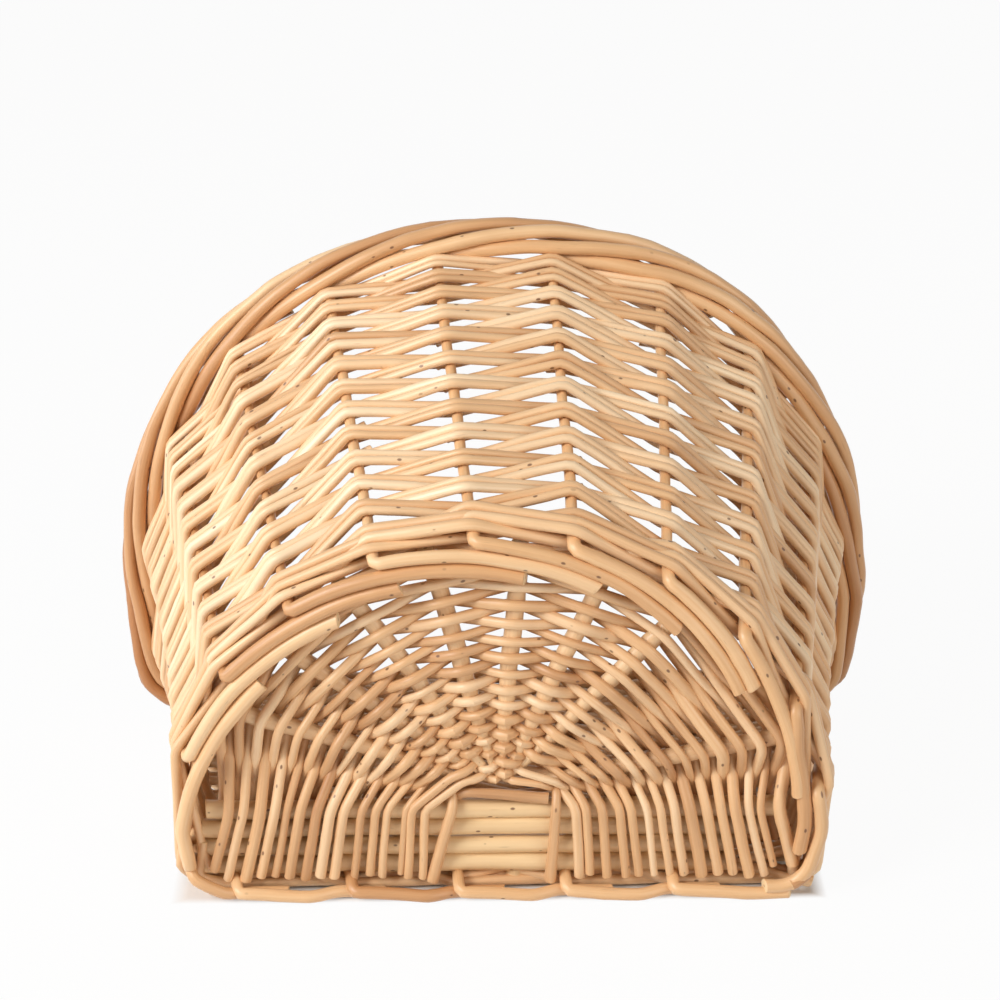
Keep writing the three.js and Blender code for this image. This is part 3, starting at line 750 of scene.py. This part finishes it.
def flat_butt(low, chance):
    """Along the flat edge a butt runs outside the next foot, and tucks in behind the one after."""
    is_last = low[0] >= 130
    end = min(low[0] + 70 + chance.uniform(-4, 5), 149 if is_last else 138)
    face = -95.5 if is_last else -102.2
    corners = []
    for x in np.linspace(end, low[0] + 4, 14):
        along = (x - low[0]) / 50
        drop = min(max((along - 0.1) / 0.6, 0), 1)
        back = min(max((along - 0.7) / 0.3, 0), 1) if low[0] < 60 else 0.35 * min(along, 1)
        back = back * back * (3 - 2 * back)
        corners.append((x, face + 5.2 * back, 6.2 - 2.7 * drop))
    return corners + [(low[0] + 1, face, 6.4), (low[0], face + 5.7, 8.9)]


def round_butt(index, low, chance):
    """Round the arch a butt lies along the outline and slopes inwards over those before it."""
    to_flat = (1 + foot.flat_again - foot_part(index)) % 1 * stake_count
    spans = min(2.35 + chance.uniform(-0.3, 0.35), max(to_flat - 0.75, 0.5))
    inwards = (band_pitch / 2, band_pitch * spans)
    if index in corner_butts:
        spans, *inwards = corner_butts[index]
    corners = []
    for along in np.linspace(spans, 0.16, 16):
        part = foot_part(index + along)
        lift = 0.9 * math.sin(min(along, 1) * math.pi)
        slope = np.interp(along, (0, 0.5, max(spans, 0.6)), (0, *inwards))
        corners.append(foot.place(part, low[1] - lift * 0.6) - foot.outward(part) * slope)
    return corners + [tuple(low)]


for index in range(stake_count):
    bent = Rods(400 + index)
    chance = random.Random(500 + index)
    low, high = stake_lines[index]
    axis = unit(high - low)
    if is_flat(index):
        butt, butt_sizes, butt_bend = flat_butt(low, chance), (5.7, 6.0), 2.2
    else:
        butt, butt_sizes, butt_bend = round_butt(index, low, chance), (7.2, 6.3), 3
    foot_points = rounded(butt + [tuple(low + axis * 20)], butt_bend, 2.6)
    wall_heights = np.linspace(low[1] + 22, high[1] - 23, 9)
    wall_points = rounded([on_stake(index, y) for y in wall_heights], 3)
    top = [on_rope(index, spans, rim_turn + chance.uniform(-0.3, 0.5))
           for spans in np.arange(0.2, 5.75 + chance.uniform(-0.3, 0.1), 0.2)]
    rim_points = rounded([high - axis * 21, high, *top], 5)
    line = np.vstack([foot_points, wall_points, rim_points])

    run = run_along(line)
    wall_start, wall_end = len(foot_points), len(foot_points) + len(wall_points)
    marks = [0, run[wall_start - 9], run[wall_start - 1], run[wall_end],
             run[wall_end] + 30 * mm, run[-1] - 60 * mm, run[-1]]
    sizes = [*butt_sizes, stake_rod, stake_rod - 0.2, 7.4, 6.3, 4.8]
    thick = np.interp(np.linspace(0, run[-1], 160), marks, sizes)
    # The rim is darker where it turns down the sides, most on the left.
    x, y = at_run(np.linspace(0, run[-1], 80), run, line)[:, :2].T
    in_rim = np.interp(y, (0.07, 0.085), (0, 1))
    at_side = np.interp(np.abs(x), (0.12, 0.19), (0, 1))
    tones = chance.uniform(0.3, 0.8) + np.where(x < 0, 0.6, 0.2) * in_rim * at_side
    bent.lay(line, thick, tones, wander=0.35, slants=(0.3, 0.5))
    bent.finish(f"stake_rod_{index + 1:02d}", [f"stake_{index + 1:02d}"], stake_willow)


# Corner rod: one more rod, let in at the left corner, turns along the face of the base there and
# runs under the next stake.
corner_rod = Rods(430)
corners = [(-149, -86, 26), (-146.5, -97, 19), (-143.6, -101.8, 14), (-136.8, -102.2, 9.8),
           (-129.6, -101.6, 6), (-121, -97.4, 3.8), (-100, -96.9, 3.6)]
corner_rod.lay(rounded(corners, 2.6, 2.4), [5.6, 6.2, 5.8], 0.7)
corner_rod.finish("corner_rod", [], stake_willow)
